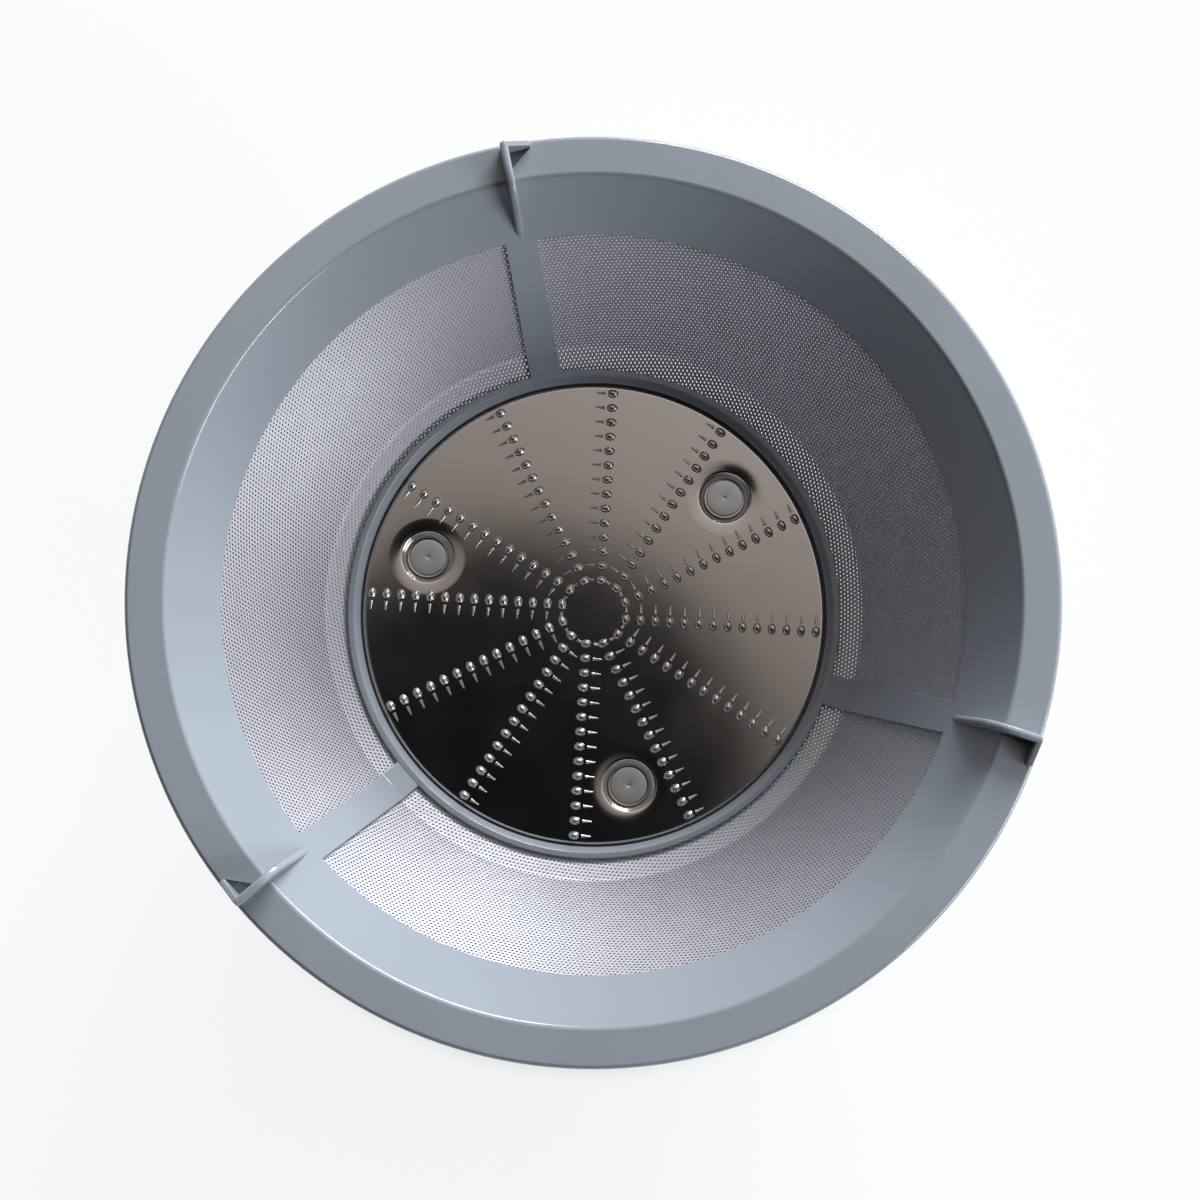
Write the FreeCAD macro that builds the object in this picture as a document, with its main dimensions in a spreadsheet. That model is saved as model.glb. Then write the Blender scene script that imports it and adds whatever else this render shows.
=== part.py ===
"""Filter basket of a centrifugal juice extractor.

A moulded frame (flange, conical band, three spokes, ring, floor, drive hub, fins) holds a conical
stainless mesh by its edges and carries a riveted grater disc in its floor. Millimetres, +Z up, the
spin axis on Z and the skirt's lower edge at Z = 0. One spoke and its fin lie on +Y.
"""
import FreeCAD, Part
import math
import os
import Sketcher

doc = FreeCAD.newDocument("FilterBasket")

# Driving dimensions, in millimetres, degrees and counts
SIZES = {
    # flange and conical wall of the frame
    "rim_radius": 67.5,
    "flange_width": 5.8,
    "flange_thickness": 1.8,
    "rim_round": 0.7,
    "flange_inner_round": 0.9,
    "wall_angle": 37.0,
    "wall_thickness": 1.8,
    "band_height": 8.9,
    # spokes, and the ring round the disc with the sloping ledge outside it
    "spoke_count": 3,
    "spoke_width": 5.0,
    "ring_wall": 1.85,
    "ring_lip_width": 1.0,
    "ring_lip_round": 0.25,
    "ring_height": 2.0,
    "ledge_width": 2.8,
    "ledge_angle": 26.0,
    # floor, skirt, ribs and drive hub
    "floor_thickness": 2.6,
    "skirt_height": 13.0,
    "skirt_wall": 2.0,
    "skirt_taper": 0.5,
    "rib_count": 6,
    "rib_thickness": 1.4,
    "rib_height": 6.0,
    "hub_wall": 2.3,
    "hub_lift": 1.0,
    "socket_radius": 7.0,
    "socket_roof": 2.2,
    "key_count": 3,
    "key_width": 2.4,
    "key_depth": 1.2,
    # fins on the wall and their corner tabs on the rim
    "fin_thickness": 1.2,
    "fin_height": 3.0,
    "fin_inset": 0.4,
    "fin_knee_setback": 2.2,
    "fin_knee_round": 5.0,
    "fin_corner_round": 0.4,
    "fin_foot_gap": 0.6,
    "tab_length": 3.9,
    "tab_thickness": 0.9,
    "tab_end_height": 1.0,
    "pocket_length": 3.2,
    "pocket_width": 2.6,
    "pocket_depth": 1.0,
    # mesh cone
    "mesh_thickness": 0.4,
    "mesh_recess": 0.7,
    "mesh_edge": 2.0,
    "mesh_foot_edge": 0.7,
    "mesh_fit": 0.05,
    "mesh_bend_round": 1.4,
    "mesh_border": 0.8,
    "mesh_bar": 1.0,
    "gap_columns": 30,
    "gap_rows": 4,
    # grater disc
    "disc_radius": 36.6,
    "disc_sheet": 0.5,
    "disc_gap": 0.25,
    "disc_edge_drop": 1.1,
    "disc_edge_round": 0.7,
    "row_count": 12,
    "row_turn": 15.0,
    "teeth_per_row": 14,
    "first_tooth_radius": 5.1,
    "tooth_border": 1.4,
    "tooth_head_offset": 1.05,
    "tooth_head_radius": 0.62,
    "tooth_head_flat": 0.31,
    "tooth_tail": 1.75,
    "tooth_height": 0.75,
    "tooth_crest": 0.4,
    "tooth_sink": 0.12,
    # pressed wells and their rivets
    "well_count": 3,
    "well_turn": 30.0,
    "well_inset": 8.8,
    "well_radius": 4.05,
    "well_slant": 1.1,
    "well_depth": 1.3,
    "well_round": 3.2,
    "well_clearance": 0.3,
    "boss_wall": 2.2,
    "boss_drop": 2.4,
    "rivet_head_gap": 0.1,
    "rivet_head_height": 0.4,
    "rivet_head_round": 0.2,
    "rivet_shank_radius": 1.5,
    "rivet_fit": 0.05,
    "rivet_tail_radius": 2.8,
    "rivet_tail_height": 0.9,
    # how far one feature runs into the next, so that they join
    "root": 0.6,
}

sheet = doc.addObject("Spreadsheet::Sheet", "Sizes")
for row, (alias, value) in enumerate(SIZES.items(), start=1):
    sheet.set(f"A{row}", alias)
    sheet.set(f"B{row}", str(value))
    sheet.setAlias(f"B{row}", alias)
doc.recompute()


def size(alias):
    """The sheet's cell of that name, as an expression."""
    return f"Sizes.{alias}"


def number(expression):
    """The value of an expression over the sheet's cells."""
    value = sheet.evalExpression(expression)
    return float(getattr(value, "Value", value))


# Heights and radii that several pieces share, as expressions over the cells
SLOPE = f"tan({size('wall_angle')})"
LEAN = f"cos({size('wall_angle')})"
DROP = f"sin({size('wall_angle')})"
LEDGE_SLOPE = f"tan({size('ledge_angle')})"
LEDGE_LEAN = f"cos({size('ledge_angle')})"
FLOOR_BOTTOM = size("skirt_height")
FLOOR_TOP = f"({FLOOR_BOTTOM} + {size('floor_thickness')})"
DISC_TOP = f"({FLOOR_TOP} + {size('disc_sheet')})"
SEAT_RADIUS = f"({size('disc_radius')} + {size('disc_gap')})"
PLATEAU_RADIUS = f"({size('disc_radius')} - {size('disc_sheet')} - {size('disc_gap')})"
SEAT_FLOOR = f"({DISC_TOP} - {size('disc_edge_drop')} - {size('disc_gap')})"
RING_OUTER = f"({SEAT_RADIUS} + {size('ring_wall')})"
FLANGE_INNER = f"({size('rim_radius')} - {size('flange_width')})"
RING_TOP = f"({DISC_TOP} + {size('ring_height')})"
KNEE_RADIUS = f"({RING_OUTER} + {size('ledge_width')})"
KNEE_TOP = f"({RING_TOP} + {size('ledge_width')} * {LEDGE_SLOPE})"
FLANGE_TOP = f"({KNEE_TOP} + ({FLANGE_INNER} - {KNEE_RADIUS}) / {SLOPE})"
BAND_BOTTOM = f"({FLANGE_TOP} - {size('band_height')})"
FIN_TOP = f"({FLANGE_TOP} + {size('fin_height')})"
HUB_RADIUS = f"({size('socket_radius')} + {size('key_depth')} + {size('hub_wall')})"
SOCKET_TOP = f"({FLOOR_TOP} - {size('socket_roof')})"
WELL_CIRCLE = f"({size('disc_radius')} - {size('well_inset')})"
WELL_BOTTOM = f"({DISC_TOP} - {size('well_depth')})"
WELL_UNDERSIDE = f"({WELL_BOTTOM} - {size('disc_sheet')})"
WELL_SEAT = f"({size('well_radius')} + {size('disc_sheet')} + {size('well_clearance')})"
BOSS_BOTTOM = f"({FLOOR_BOTTOM} - {size('boss_drop')})"
RIVET_HEAD = f"({size('well_radius')} - {size('well_slant')} - {size('rivet_head_gap')})"


def wall_radius(height, depth):
    """Radius of the conical wall at a height, a depth behind its inner face."""
    return f"({FLANGE_INNER} - ({FLANGE_TOP} - {height}) * {SLOPE} + ({depth}) / {LEAN})"


def ledge_height(radius, depth):
    """Height of the sloping ledge at a radius, a depth below its upper face."""
    return f"({KNEE_TOP} + ({radius} - {KNEE_RADIUS}) * {LEDGE_SLOPE} - ({depth}) / {LEDGE_LEAN})"


def knee_radius(depth):
    """Radius where wall and ledge meet, a depth behind their faces."""
    share = f"(1 / {LEAN} - {SLOPE} / {LEDGE_LEAN}) / (1 - {SLOPE} * {LEDGE_SLOPE})"
    return f"({KNEE_RADIUS} + ({depth}) * {share})"


def knee(depth):
    """Place where wall and ledge meet, a depth behind their faces."""
    return knee_radius(depth), ledge_height(knee_radius(depth), depth)


def corner_arc(before, corner, after, radius):
    """Arc that rounds a corner, with its tangent points on the way in and on the way out."""
    way_in = (corner - before).normalize()
    way_out = (after - corner).normalize()
    turn = way_in.getAngle(way_out)
    reach = radius * math.tan(turn / 2)
    start = corner - way_in * reach
    end = corner + way_out * reach
    middle_way = (way_out - way_in).normalize()
    centre = corner + middle_way * (radius / math.cos(turn / 2))
    middle = centre - middle_way * radius
    return Part.Arc(start, middle, end), start, end


def draw_loop(sketch, corners):
    """Add a closed outline of (x, y) or (x, y, corner radius) expressions, pinned to the cells."""
    places = [FreeCAD.Vector(number(corner[0]), number(corner[1]), 0) for corner in corners]
    starts = list(places)
    ends = places[1:] + places[:1]
    arcs = {}
    for index, corner in enumerate(corners):
        if len(corner) == 3:
            before = places[index - 1]
            after = places[(index + 1) % len(places)]
            arcs[index], ends[index - 1], starts[index] = corner_arc(
                before, places[index], after, number(corner[2]))
    lines = [sketch.addGeometry(Part.LineSegment(start, end)) for start, end in zip(starts, ends)]
    for index, corner in enumerate(corners):
        line_in, line_out = lines[index - 1], lines[index]
        if index in arcs:
            arc = sketch.addGeometry(arcs[index])
            joins_at_start = sketch.getPoint(arc, 1).distanceToPoint(ends[index - 1]) < 1e-6
            first, last = (1, 2) if joins_at_start else (2, 1)
            sketch.addConstraint(Sketcher.Constraint("Tangent", line_in, 2, arc, first))
            sketch.addConstraint(Sketcher.Constraint("Tangent", arc, last, line_out, 1))
            pin_value(sketch, Sketcher.Constraint("Radius", arc, number(corner[2])), corner[2])
            point = sketch.addGeometry(Part.Point(places[index]), True)
            sketch.addConstraint(Sketcher.Constraint("PointOnObject", point, 1, line_in))
            sketch.addConstraint(Sketcher.Constraint("PointOnObject", point, 1, line_out))
            pin_point(sketch, point, 1, corner)
        else:
            sketch.addConstraint(Sketcher.Constraint("Coincident", line_in, 2, line_out, 1))
            pin_point(sketch, line_out, 1, corner)


def pin_value(sketch, constraint, expression):
    """Add a dimension and tie it to the cells."""
    index = sketch.addConstraint(constraint)
    sketch.setExpression(f"Constraints[{index}]", expression)


def pin_point(sketch, item, end, place):
    """Tie a point of the sketch to an (x, y) place; "0" puts it on that axis."""
    for kind, axis, expression in (("DistanceX", -2, place[0]), ("DistanceY", -1, place[1])):
        if expression == "0":
            sketch.addConstraint(Sketcher.Constraint("PointOnObject", item, end, axis))
        else:
            distance = Sketcher.Constraint(kind, -1, 1, item, end, number(expression))
            pin_value(sketch, distance, expression)


def new_sketch(body, name, plane, lift="0", turn="0"):
    """Empty sketch on one of the body's origin planes, moved along its normal and turned in it."""
    sketch = body.newObject("Sketcher::SketchObject", name)
    role = next(item for item in body.Origin.OriginFeatures if item.Role == plane)
    sketch.AttachmentSupport = [(role, "")]
    sketch.MapMode = "FlatFace"
    sketch.AttachmentOffset = FreeCAD.Placement(
        FreeCAD.Vector(0, 0, number(lift)), FreeCAD.Rotation(FreeCAD.Vector(0, 0, 1), number(turn)))
    sketch.setExpression("AttachmentOffset.Base.z", lift)
    if turn != "0":
        sketch.setExpression("AttachmentOffset.Rotation.Angle", turn)
    return sketch


def outline(body, name, plane, corners, lift="0", turn="0"):
    """Sketch of one closed outline."""
    sketch = new_sketch(body, name, plane, lift, turn)
    draw_loop(sketch, corners)
    return sketch


def circle(body, name, centre, radius, lift, turn="0"):
    """Sketch of one circle on the horizontal plane."""
    sketch = new_sketch(body, name, "XY_Plane", lift, turn)
    place = FreeCAD.Vector(number(centre[0]), number(centre[1]), 0)
    item = sketch.addGeometry(Part.Circle(place, FreeCAD.Vector(0, 0, 1), number(radius)))
    pin_value(sketch, Sketcher.Constraint("Radius", item, number(radius)), radius)
    pin_point(sketch, item, 3, centre)
    return sketch


def spin(body, kind, sketch):
    """Turn a sketch fully round the spin axis, to add or to cut."""
    feature = body.newObject(f"PartDesign::{kind}", f"{sketch.Name}{kind}")
    feature.Profile = sketch
    feature.ReferenceAxis = (sketch, ["V_Axis"])
    feature.Angle = 360
    return feature


def push(body, kind, sketch, length, symmetric=False, reverse=False, taper=None):
    """Pad or pocket a sketch by a length."""
    feature = body.newObject(f"PartDesign::{kind}", f"{sketch.Name}{kind}")
    feature.Profile = sketch
    feature.setExpression("Length", length)
    feature.SideType = "Symmetric" if symmetric else "One side"
    feature.Reversed = reverse
    if taper:
        feature.setExpression("TaperAngle", taper)
    return feature


def ring_of(body, name, features, count):
    """Repeat features evenly round the spin axis."""
    pattern = body.newObject("PartDesign::PolarPattern", name)
    pattern.Originals = features
    axis = next(item for item in body.Origin.OriginFeatures if item.Role == "Z_Axis")
    pattern.Axis = (axis, [""])
    pattern.Angle = 360
    pattern.setExpression("Occurrences", count)
    body.Tip = pattern
    return pattern


def new_body(label):
    """Body of one piece, named as its file."""
    body = doc.addObject("PartDesign::Body", label)
    body.Label = label
    body.Placement = FreeCAD.Placement()
    return body


def make_frame():
    """Moulded frame: flange and band, spokes, ring with floor and hub, slot for the mesh, fins, ribs."""
    body = new_body("basket_frame")
    root = size("root")
    thickness = size("wall_thickness")

    band_inner = wall_radius(BAND_BOTTOM, "0")
    flange_bottom = f"({FLANGE_TOP} - {size('flange_thickness')})"
    spin(body, "Revolution", outline(body, "Band", "XZ_Plane", [
        (band_inner, BAND_BOTTOM),
        (FLANGE_INNER, FLANGE_TOP, size("flange_inner_round")),
        (size("rim_radius"), FLANGE_TOP, size("rim_round")),
        (size("rim_radius"), flange_bottom, size("rim_round")),
        (wall_radius(flange_bottom, thickness), flange_bottom),
        (f"{band_inner} + {thickness} * {LEAN}", f"{BAND_BOTTOM} - {thickness} * {DROP}"),
    ]))

    spoke_top = f"({BAND_BOTTOM} + {root})"
    spoke_foot = f"({RING_OUTER} - {root})"
    spoke = push(body, "Pad", outline(body, "Spoke", "YZ_Plane", [
        (wall_radius(spoke_top, "0"), spoke_top),
        (wall_radius(spoke_top, thickness), spoke_top),
        knee(thickness),
        (spoke_foot, ledge_height(spoke_foot, thickness)),
        (spoke_foot, ledge_height(spoke_foot, "0")),
        knee("0"),
    ]), size("spoke_width"), symmetric=True)
    ring_of(body, "Spokes", [spoke], size("spoke_count"))

    lip_inner = f"({RING_OUTER} - {size('ring_lip_width')})"
    skirt_outer = f"({RING_OUTER} - {size('skirt_taper')})"
    skirt_inner = f"({skirt_outer} - {size('skirt_wall')})"
    spin(body, "Revolution", outline(body, "RingAndHub", "XZ_Plane", [
        ("0", SOCKET_TOP),
        ("0", FLOOR_TOP),
        (PLATEAU_RADIUS, FLOOR_TOP),
        (PLATEAU_RADIUS, SEAT_FLOOR),
        (SEAT_RADIUS, SEAT_FLOOR),
        (SEAT_RADIUS, DISC_TOP),
        (lip_inner, RING_TOP, size("ring_lip_round")),
        (RING_OUTER, RING_TOP, size("ring_lip_round")),
        (RING_OUTER, FLOOR_BOTTOM),
        (skirt_outer, "0"),
        (skirt_inner, "0"),
        (f"{RING_OUTER} - {size('skirt_wall')}", FLOOR_BOTTOM),
        (HUB_RADIUS, FLOOR_BOTTOM),
        (HUB_RADIUS, size("hub_lift")),
        (size("socket_radius"), size("hub_lift")),
        (size("socket_radius"), SOCKET_TOP),
    ]))

    spin(body, "Groove", outline(body, "MeshSlot", "XZ_Plane", mesh_profile(size("mesh_fit"))))

    rim_side = f"({size('rim_radius')} - {size('fin_inset')})"
    fin_foot = f"({BAND_BOTTOM} + {size('fin_foot_gap')})"
    sunk = f"({FLANGE_TOP} - {root})"
    fin = push(body, "Pad", outline(body, "Fin", "YZ_Plane", [
        (wall_radius(fin_foot, root), fin_foot),
        (wall_radius(fin_foot, "0"), fin_foot),
        (f"{FLANGE_INNER} - {size('fin_knee_setback')}", FIN_TOP, size("fin_knee_round")),
        (rim_side, FIN_TOP, size("fin_corner_round")),
        (rim_side, sunk),
        (wall_radius(sunk, root), sunk),
    ]), size("fin_thickness"), symmetric=True)
    tab = push(body, "Pad", outline(body, "Tab", "XZ_Plane", [
        ("0", sunk),
        (size("tab_length"), sunk),
        (size("tab_length"), f"{FLANGE_TOP} + {size('tab_end_height')}"),
        ("0", FIN_TOP),
    ], lift=f"-{rim_side}"), size("tab_thickness"))
    tab_inside = f"({rim_side} - {size('tab_thickness')})"
    fin_side = f"({size('fin_thickness')} / 2)"
    pocket = push(body, "Pocket", outline(body, "CornerPocket", "XY_Plane", [
        (fin_side, tab_inside),
        (fin_side, f"{tab_inside} - {size('pocket_width')}"),
        (f"{fin_side} + {size('pocket_length')}", tab_inside),
    ], lift=FLANGE_TOP), size("pocket_depth"))
    ring_of(body, "Fins", [fin, tab, pocket], size("spoke_count"))

    centre = (WELL_CIRCLE, "0")
    well_turn = size("well_turn")
    boss_radius = f"{WELL_SEAT} + {size('boss_wall')}"
    boss = push(body, "Pad", circle(body, "Boss", centre, boss_radius, BOSS_BOTTOM, well_turn),
                f"{size('boss_drop')} + {root}")
    seat = push(body, "Pocket", circle(body, "WellSeat", centre, WELL_SEAT, FLOOR_TOP, well_turn),
                f"{FLOOR_TOP} - {WELL_UNDERSIDE}")
    hole_radius = f"{size('rivet_shank_radius')} + {size('rivet_fit')}"
    hole = push(body, "Pocket", circle(body, "RivetHole", centre, hole_radius, FLOOR_TOP, well_turn),
                f"{FLOOR_TOP} - {BOSS_BOTTOM} + {root}")
    ring_of(body, "WellSeats", [boss, seat, hole], size("well_count"))

    rib_bottom = f"({FLOOR_BOTTOM} - {size('rib_height')})"
    rib = push(body, "Pad", outline(body, "Rib", "XZ_Plane", [
        (f"{HUB_RADIUS} - {root}", FLOOR_BOTTOM),
        (f"{HUB_RADIUS} - {root}", rib_bottom),
        (f"{skirt_inner} + {root}", rib_bottom),
        (f"{skirt_inner} + {root}", FLOOR_BOTTOM),
    ]), size("rib_thickness"), symmetric=True)
    ring_of(body, "Ribs", [rib], size("rib_count"))

    half_key = f"{size('key_width')} / 2"
    key_end = f"{size('socket_radius')} + {size('key_depth')}"
    key = push(body, "Pocket", outline(body, "Key", "XY_Plane", [
        (f"-{half_key}", "0"),
        (half_key, "0"),
        (half_key, key_end),
        (f"-{half_key}", key_end),
    ]), SOCKET_TOP, reverse=True)
    ring_of(body, "Keys", [key], size("key_count"))
    return body


def mesh_profile(fit):
    """Section of the mesh cone and its sloping ledge, larger all round by a fit."""
    inner = f"{size('mesh_recess')} - {fit}"
    outer = f"{size('mesh_recess')} + {size('mesh_thickness')} + {fit}"
    top = f"({BAND_BOTTOM} + ({size('mesh_edge')} + {fit}) * {LEAN})"
    foot = f"({RING_OUTER} - {size('mesh_foot_edge')} - {fit})"
    bend = f"{size('mesh_bend_round')} - {fit}"
    return [
        (wall_radius(top, inner), top),
        (f"{wall_radius(top, inner)} + ({outer} - ({inner})) * {LEAN}",
         f"{top} - ({outer} - ({inner})) * {DROP}"),
        (*knee(outer), f"{bend} + {size('mesh_thickness')} + 2 * {fit}"),
        (foot, ledge_height(foot, outer)),
        (foot, ledge_height(foot, inner)),
        (*knee(inner), bend),
    ]


def make_mesh():
    """Perforated cone with a ledge at its foot; coarse gaps stand for the fine holes."""
    body = new_body("filter_mesh")
    spin(body, "Revolution", outline(body, "Cone", "XZ_Plane", mesh_profile("0")))

    low = f"({knee_radius(size('mesh_recess'))} + {size('mesh_border')})"
    high = f"({wall_radius(BAND_BOTTOM, size('mesh_recess'))} - {size('mesh_border')})"
    row_step = f"(({high} - {low}) / ({size('gap_rows')} + 1))"
    half_turn = f"(180 / {size('gap_columns')})"
    half_bar = f"({size('mesh_bar')} / 2)"
    sketch = new_sketch(body, "Gaps", "XY_Plane")
    for row in range(int(number(size("gap_rows")))):
        middle = f"({low} + {row_step} * {row + 1})"
        turn = half_turn if row % 2 else "0"
        reach = f"({row_step} - {half_bar})"
        side = f"({half_turn} - {half_bar} / {middle} * 180 / pi)"
        draw_loop(sketch, [
            polar(f"({middle} - {reach})", turn),
            polar(middle, f"{turn} - {side}"),
            polar(f"({middle} + {reach})", turn),
            polar(middle, f"{turn} + {side}"),
        ])
    gaps = body.newObject("PartDesign::Pocket", "GapsPocket")
    gaps.Profile = sketch
    gaps.setExpression("Length", FLANGE_TOP)
    gaps.Reversed = True
    ring_of(body, "GapRings", [gaps], size("gap_columns"))
    return body


def polar(radius, angle):
    """Place at a radius and an angle in degrees, as x and y expressions."""
    return f"{radius} * cos({angle})", f"{radius} * sin({angle})"


def make_disc():
    """Pressed grater disc: turned-down edge, three wells, and rows of drop-shaped teeth."""
    body = new_body("grater_disc")
    edge_bottom = f"({DISC_TOP} - {size('disc_edge_drop')})"
    inside = f"({size('disc_radius')} - {size('disc_sheet')})"
    spin(body, "Revolution", outline(body, "Plate", "XZ_Plane", [
        ("0", FLOOR_TOP),
        (inside, FLOOR_TOP),
        (inside, edge_bottom),
        (size("disc_radius"), edge_bottom),
        (size("disc_radius"), DISC_TOP, size("disc_edge_round")),
        ("0", DISC_TOP),
    ]))

    centre = (WELL_CIRCLE, "0")
    well_turn = size("well_turn")
    slant = f"-atan({size('well_slant')} / {size('well_depth')})"
    cup = push(body, "Pad", circle(body, "Cup", centre, f"{size('well_radius')} + {size('disc_sheet')}",
                                   FLOOR_TOP, well_turn),
               f"{FLOOR_TOP} - {WELL_UNDERSIDE}", reverse=True, taper=slant)
    well = push(body, "Pocket", circle(body, "Well", centre, size("well_radius"), DISC_TOP, well_turn),
                size("well_depth"), taper=slant)
    hole_radius = f"{size('rivet_shank_radius')} + {size('rivet_fit')}"
    hole = push(body, "Pocket", circle(body, "WellHole", centre, hole_radius, DISC_TOP, well_turn),
                f"{DISC_TOP} - {WELL_UNDERSIDE} + {size('root')}")
    wells = ring_of(body, "Wells", [cup, well, hole], size("well_count"))
    doc.recompute()

    rim = body.newObject("PartDesign::Fillet", "WellRims")
    rim.Base = (wells, circle_edges(wells.Shape, number(size("well_radius")), number(DISC_TOP)))
    rim.setExpression("Radius", size("well_round"))
    body.Tip = rim

    head = f"-{size('tooth_head_offset')}"
    radius = size("tooth_head_radius")
    flat = size("tooth_head_flat")
    tail = size("tooth_tail")
    first = size("first_tooth_radius")
    sections = []
    for name, lift, share in (("ToothFoot", f"{DISC_TOP} - {size('tooth_sink')}", "1"),
                              ("ToothCrest", f"{DISC_TOP} + {size('tooth_height')}", size("tooth_crest"))):
        sections.append(outline(body, name, "XY_Plane", [
            (first, f"{head} + ({tail} - ({head})) * {share}"),
            (f"{first} - {radius} * {share}", head),
            (f"{first} - {flat} * {share}", f"{head} - {radius} * {share}"),
            (f"{first} + {flat} * {share}", f"{head} - {radius} * {share}"),
            (f"{first} + {radius} * {share}", head),
        ], lift=lift, turn=size("row_turn")))
    tooth = body.newObject("PartDesign::AdditiveLoft", "Tooth")
    tooth.Profile = sections[0]
    tooth.Sections = sections[1:]
    tooth.Ruled = True
    along = body.newObject("PartDesign::LinearPattern", "ToothRow")
    along.Direction = (sections[0], ["H_Axis"])
    along.setExpression("Length", f"{size('disc_radius')} - {size('tooth_border')} - {first}")
    along.setExpression("Occurrences", size("teeth_per_row"))
    around = body.newObject("PartDesign::PolarPattern", "ToothRows")
    axis = next(item for item in body.Origin.OriginFeatures if item.Role == "Z_Axis")
    around.Axis = (axis, [""])
    around.Angle = 360
    around.setExpression("Occurrences", size("row_count"))
    teeth = body.newObject("PartDesign::MultiTransform", "Teeth")
    teeth.Originals = [tooth]
    teeth.Transformations = [along, around]
    teeth.Refine = False
    body.Tip = teeth
    return body


def circle_edges(shape, radius, height):
    """Names of the round edges of a radius that lie at a height."""
    names = []
    for index, edge in enumerate(shape.Edges, start=1):
        curve = edge.Curve
        if isinstance(curve, Part.Circle) and abs(curve.Radius - radius) < 1e-4:
            if abs(curve.Center.z - height) < 1e-4:
                names.append(f"Edge{index}")
    return names


def make_rivets():
    """Three rivets, head up in the wells and set below the bosses, as one group of solids."""
    head = number(RIVET_HEAD)
    round_edge = number(size("rivet_head_round"))
    shank = number(size("rivet_shank_radius"))
    tail = number(size("rivet_tail_radius"))
    seat = number(WELL_BOTTOM)
    top = seat + number(size("rivet_head_height"))
    under = number(BOSS_BOTTOM)
    bottom = under - number(size("rivet_tail_height"))
    rivet = Part.makeCylinder(head, top - seat, FreeCAD.Vector(0, 0, seat))
    rivet = rivet.makeFillet(round_edge, [edge for edge in rivet.Edges if edge.CenterOfMass.z > top - 1e-6])
    rivet = rivet.fuse(Part.makeCylinder(shank, seat - under, FreeCAD.Vector(0, 0, under)))
    rivet = rivet.fuse(Part.makeCone(shank, tail, under - bottom, FreeCAD.Vector(0, 0, bottom)))
    rivet = rivet.removeSplitter()
    count = int(number(size("well_count")))
    solids = []
    for index in range(count):
        turn = math.radians(number(size("well_turn")) + 360 / count * index)
        radius = number(WELL_CIRCLE)
        copy = rivet.Solids[0].copy()
        copy.translate(FreeCAD.Vector(radius * math.cos(turn), radius * math.sin(turn), 0))
        solids.append(copy)
    group = doc.addObject("Part::Feature", "disc_rivets")
    group.Label = "disc_rivets"
    group.Shape = Part.makeCompound(solids)
    group.Placement = FreeCAD.Placement()
    return group


pieces = [make_frame(), make_mesh(), make_disc(), make_rivets()]
doc.recompute()

for item in doc.Objects:
    if "Invalid" in item.State or "Error" in item.State:
        raise RuntimeError(f"{item.Name} failed: {item.State}")
for piece in pieces:
    if piece.Shape.isNull() or not piece.Shape.isValid():
        raise RuntimeError(f"{piece.Label} has no valid shape")

os.makedirs("parts", exist_ok=True)
for piece in pieces:
    piece.Shape.exportStep(f"parts/{piece.Label}.step")
    print(piece.Label, len(piece.Shape.Solids), "solids", round(piece.Shape.Volume, 2), "mm3")
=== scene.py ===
# %% [markdown]
# # A juicer's filter basket
# The real object is the spinning basket of a centrifugal juicer: a grey moulded frame, a cone of fine
# perforated steel, a mirror-polished grater disc with twelve rows of punched teeth, and three rivets. The
# CAD frame gives every place and size. Here each piece is modelled again, finer, over its solid.

# %% Load the frame
import math

import bpy
import numpy as np
from mathutils import Matrix, Vector


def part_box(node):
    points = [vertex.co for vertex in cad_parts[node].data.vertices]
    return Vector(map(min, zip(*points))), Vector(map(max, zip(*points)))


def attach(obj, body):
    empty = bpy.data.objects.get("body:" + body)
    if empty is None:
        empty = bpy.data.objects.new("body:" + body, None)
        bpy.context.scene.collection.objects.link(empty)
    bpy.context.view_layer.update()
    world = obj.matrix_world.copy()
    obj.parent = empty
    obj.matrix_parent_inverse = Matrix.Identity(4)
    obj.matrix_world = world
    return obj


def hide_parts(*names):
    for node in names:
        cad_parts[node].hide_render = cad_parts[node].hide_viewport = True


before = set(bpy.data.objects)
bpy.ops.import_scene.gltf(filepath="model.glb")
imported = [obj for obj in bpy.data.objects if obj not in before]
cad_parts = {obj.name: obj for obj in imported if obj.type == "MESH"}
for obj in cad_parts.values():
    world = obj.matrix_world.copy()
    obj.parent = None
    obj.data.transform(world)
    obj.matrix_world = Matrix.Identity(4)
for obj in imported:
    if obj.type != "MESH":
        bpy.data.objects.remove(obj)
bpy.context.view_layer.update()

# %% [markdown]
# ## Sizes
# Blender works in metres here, so every size is written in millimetres times MM. The large ones are read
# from the frame, which keeps the two models in step. The others are the sizes of the moulding itself.

# %% Sizes of the basket
MM = 0.001
RIM_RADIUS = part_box("basket_frame")[1].x
FIN_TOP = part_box("basket_frame")[1].z
DISC_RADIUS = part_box("grater_disc")[1].x
TOOTH_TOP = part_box("grater_disc")[1].z

FIN_HEIGHT = 3.0 * MM
TOOTH_HEIGHT = 0.75 * MM
DISC_SHEET = 0.5 * MM
FLOOR_THICKNESS = 2.6 * MM
RING_HEIGHT = 2.0 * MM
LEDGE_WIDTH = 2.8 * MM
LEDGE_ANGLE = math.radians(26)
RING_WALL = 1.85 * MM
DISC_GAP = 0.25 * MM
MESH_RECESS = 0.7 * MM
FLANGE_WIDTH = 5.8 * MM
BAND_HEIGHT = 8.9 * MM
WALL_ANGLE = math.radians(37)
WALL_THICKNESS = 1.8 * MM

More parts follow.
